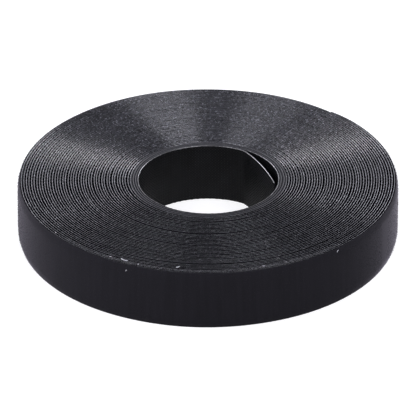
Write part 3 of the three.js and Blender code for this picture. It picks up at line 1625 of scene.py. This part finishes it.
@dataclass
class WoundTape:
    """The wound turns, which stay still: both strips, and what shows on and between them.

    Attributes:
        stock: What they are cut from.
        start: Run where they start.
        end: Run where they end.
        step: Length of their faces.
    """

    stock: Stock
    start: float
    end: float
    step: float = 2.0 * MM

    @property
    def tight_end(self) -> float:
        """Run where the turns stop lying tight."""
        return self.stock.winding.run_at(FULL_TURN * self.stock.tight_turns)

    def build(self, finishes: Finishes, cover: Cover) -> list[bpy.types.Object]:
        """Winds the turns.

        Args:
            finishes: The materials.
            cover: What stands on both sides of the tape.

        Returns:
            The pieces.
        """
        made = [self._strip(side, finishes) for side in Side]
        for rim in Rim:
            row = cover.hooks.row(self.start, self.end, rim)
            made.append(self._fix(f"{rim.value}_edge_hooks", [row], [finishes.cut_plastic]))
        bore = cover.hooks.field(0.0, self.stock.winding.first_turn)
        made.append(self._fix("bore_hooks", [bore], [finishes.plastic]))
        filling = self.stock.filling(0.0, self.tight_end, self.step)
        bare = self.stock.winding.bare_run
        nap = self.stock.nap_layer(bare - self.stock.nap_lead, self.end, self.step)
        for name, parts, finish in (
            ("engaged_pile", [filling], finishes.felted),
            ("wall_nap", [nap], finishes.cloth),
            ("wall_pile", [cover.pile.field(bare, self.end)], finishes.filament),
            # The rim fuzz takes the pale finish of painted glints
            ("rim_fuzz", [cover.fuzz()], finishes.frayed_and_glinting),
            ("lint", cover.lint(), finishes.lint),
        ):
            made.append(self._fix(name, parts, [finish]))
        return made

    def _strip(self, side: Side, finishes: Finishes) -> bpy.types.Object:
        """One wound strip, which stands for the solids of the roll.

        Args:
            side: Which strip.
            finishes: The materials.

        Returns:
            The piece.
        """
        part = self.stock.strip(side, self.start, self.end, self.step)
        run, _, height = face_centres(part).T
        inside = np.minimum(height, self.stock.tape.width - height) > self.stock.slit_depth
        beyond_bore = run > self.stock.winding.first_turn if side is Side.HOOK else run > 0
        # Sides between turns take the pressed finish, painted dark as shade in the gaps
        mark_faces(part, inside & beyond_bore & (run < self.stock.winding.bare_run), Face.PRESSED)
        mark_faces(part, ~inside & beyond_bore & (run < self.tight_end), Face.TIGHT)
        piece = self._fix(f"wound_{side.value}_strip", [part], finishes.of(side))
        if side is Side.HOOK:
            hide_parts("hook_strip", "inner_turns")
        else:
            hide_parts("loop_strip")
        return piece

    def _fix(
        self,
        name: str,
        parts: Sequence[bpy.types.Mesh],
        finishes: Sequence[bpy.types.Material],
    ) -> bpy.types.Object:
        """Winds a piece and fixes it to the still body.

        Args:
            name: Its name.
            parts: Its straight meshes.
            finishes: Its materials, by the number that its faces hold.

        Returns:
            The piece.
        """
        piece = self.stock.wind(name, parts, finishes)
        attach(piece, "roll")
        LOG.info("%s: %d faces on the roll", piece.name, len(piece.data.polygons))
        return piece


@dataclass(frozen=True)
class Lamp:
    """A soft lamp that faces the object.

    Attributes:
        name: Its name.
        azimuth: Where it stands, in degrees counter-clockwise from +X.
        elevation: How high, in degrees from the roll.
        size: Its width and height.
        radiance: How bright its face is, where white paper in plain light is 1.
    """

    name: str
    azimuth: float
    elevation: float
    size: tuple[float, float]
    radiance: float

    def build(self, aim: Vector, away: float, tint: Colour) -> None:
        """Sets up the lamp.

        Args:
            aim: What it faces.
            away: How far off it stands.
            tint: Its colour.
        """
        data = bpy.data.lights.new(self.name, "AREA")
        data.shape = "RECTANGLE"
        data.size, data.size_y = self.size
        data.color = tint
        data.energy = self.radiance * math.pi * self.size[0] * self.size[1]
        lamp = bpy.data.objects.new(self.name, data)
        azimuth, elevation = math.radians(self.azimuth), math.radians(self.elevation)
        flat = math.cos(elevation)
        direction = Vector((flat * math.cos(azimuth), flat * math.sin(azimuth), math.sin(elevation)))
        lamp.location = aim + direction * away
        lamp.rotation_euler = (-direction).to_track_quat("-Z", "Y").to_euler()
        bpy.context.scene.collection.objects.link(lamp)


@dataclass(frozen=True)
class Studio:
    """Camera, lamps, floor and surroundings.

    Attributes:
        elevation: How high the camera stands, from the roll.
        distance: How far off it stands.
        lens: Its focal length, in millimetres.
        far: How far it sees.
        aim: What it and the lamps face.
        fill: Strength of the even light.
        zenith: Brightness of the ceiling in reflections.
        backdrop: Brightness of the backdrop in reflections.
        front: Brightness of the room in front in reflections.
        ceiling: Heights between which the surroundings turn to ceiling, as parts of a unit sphere.
        room: Depths between which they turn from the front to the backdrop, as parts of it.
        tint: Colour of the surroundings and lamps.
        floor_reach: Half the width of the floor.
        floor_lift: What the floor glows by, to the eye.
        floor_grey: What it reflects.
        lamp_distance: How far off the lamps stand.
        lamps: The lamps.
    """

    elevation: float = math.radians(29.57)
    distance: float = 3.767
    lens: float = 799.7
    far: float = 100.0
    aim: tuple[float, float, float] = (0.00028, 0.0, 0.01165)
    fill: float = 0.27
    zenith: float = 0.12
    backdrop: float = 1.75
    front: float = 0.3
    ceiling: tuple[float, float] = (0.3, 0.52)
    room: tuple[float, float] = (-0.2, 0.5)
    tint: Colour = (0.97, 0.97, 1.07)
    floor_reach: float = 6.0
    floor_lift: float = 0.72
    floor_grey: float = 0.5
    lamp_distance: float = 0.9
    lamps: tuple[Lamp, ...] = (
        Lamp("front_left", -142, 46, (0.6, 0.24), 5.3),
        Lamp("front_right", -54, 46, (0.6, 0.24), 8.5),
        Lamp("side_left", 143, 27, (0.34, 0.36), 8.0),
        Lamp("side_right", 42, 22, (0.36, 0.36), 8.0),
        Lamp("low_left", 184, 8, (0.3, 0.3), 9.3),
    )

    def build(self) -> None:
        """Sets up the scene round the object."""
        scene = bpy.context.scene
        scene.view_settings.view_transform = "Standard"
        self._camera(scene)
        self._surroundings(scene)
        self._floor()
        for lamp in self.lamps:
            lamp.build(Vector(self.aim), self.lamp_distance, self.tint)

    def _camera(self, scene: bpy.types.Scene) -> None:
        """Sets up a long lens, from the front and above.

        Args:
            scene: The scene.
        """
        data = bpy.data.cameras.new("camera")
        data.lens = self.lens
        data.clip_end = self.far
        camera = bpy.data.objects.new("camera", data)
        back = Vector((0, -math.cos(self.elevation), math.sin(self.elevation)))
        camera.location = Vector(self.aim) + back * self.distance
        camera.rotation_euler = (-back).to_track_quat("-Z", "Y").to_euler()
        scene.collection.objects.link(camera)
        scene.camera = camera

    @staticmethod
    def _rays(board: Board, *kinds: str) -> list[Signal]:
        """Signals that are 1 on rays of these kinds, and 0 on others.

        Args:
            board: The board that they belong to.
            kinds: Names of the kinds.

        Returns:
            One signal for each.
        """
        path = board.node("ShaderNodeLightPath")
        return [Signal(board, path.outputs[f"Is {kind} Ray"]) for kind in kinds]

    def _surroundings(self, scene: bpy.types.Scene) -> None:
        """White to the eye, a lit backdrop under a dim ceiling in reflections, and a soft even light.

        Args:
            scene: The scene.
        """
        scene.world = bpy.data.worlds.new("surroundings")
        board = Board(scene.world)
        way = board.signal("ShaderNodeTexCoord", {}, {}, "Generated")
        apart = board.node("ShaderNodeSeparateXYZ", {}, {0: way})
        low = 1 - board.step(Signal(board, apart.outputs["Z"]), *self.ceiling)
        behind = board.step(Signal(board, apart.outputs["Y"]), *self.room)
        sweep = self.zenith + (self.front - self.zenith + (self.backdrop - self.front) * behind) * low
        camera, glossy = self._rays(board, "Camera", "Glossy")
        strength = self.fill + (1 - self.fill) * camera + (sweep - self.fill) * glossy
        inputs = {"Color": (*self.tint, 1), "Strength": strength}
        light = board.signal("ShaderNodeBackground", {}, inputs)
        board.node("ShaderNodeOutputWorld", {}, {"Surface": light})

    def _floor(self) -> None:
        """Lays a wide white floor that keeps a soft shadow."""
        bm = bmesh.new()
        bmesh.ops.create_grid(bm, x_segments=1, y_segments=1, size=self.floor_reach)
        mesh = end_mesh("floor", bm)
        floor = bpy.data.objects.new("floor", mesh)
        bpy.context.scene.collection.objects.link(floor)
        board = Board(material := bpy.data.materials.new("white_floor"))
        camera, glossy, clear = self._rays(board, "Camera", "Glossy", "Transmission")
        glow = {"Color": (1, 1, 1, 1), "Strength": self.floor_lift * camera.most(glossy).most(clear)}
        lift = board.signal("ShaderNodeEmission", {}, glow)
        grey = (self.floor_grey, self.floor_grey, self.floor_grey, 1)
        matt = board.signal("ShaderNodeBsdfDiffuse", {}, {"Color": grey})
        both = board.signal("ShaderNodeAddShader", {}, {0: lift, 1: matt})
        board.node("ShaderNodeOutputMaterial", {}, {"Surface": both})
        mesh.materials.append(material)


def main() -> None:
    """Builds the roll and the studio round it."""
    logging.basicConfig(level=logging.INFO, format="%(message)s")
    Studio().build()
    stock = Stock(Winding(Tape()))
    finishes = Finishes()
    cover = Cover(stock)
    outer_end = OuterEnd(stock)
    inner_end = InnerEnd(stock)
    turns = WoundTape(stock, inner_end.span(0)[1], outer_end.span(0)[0])
    turns.build(finishes, cover)
    outer_end.build(finishes, cover)
    inner_end.build(finishes, cover)


if __name__ == "__main__":
    main()
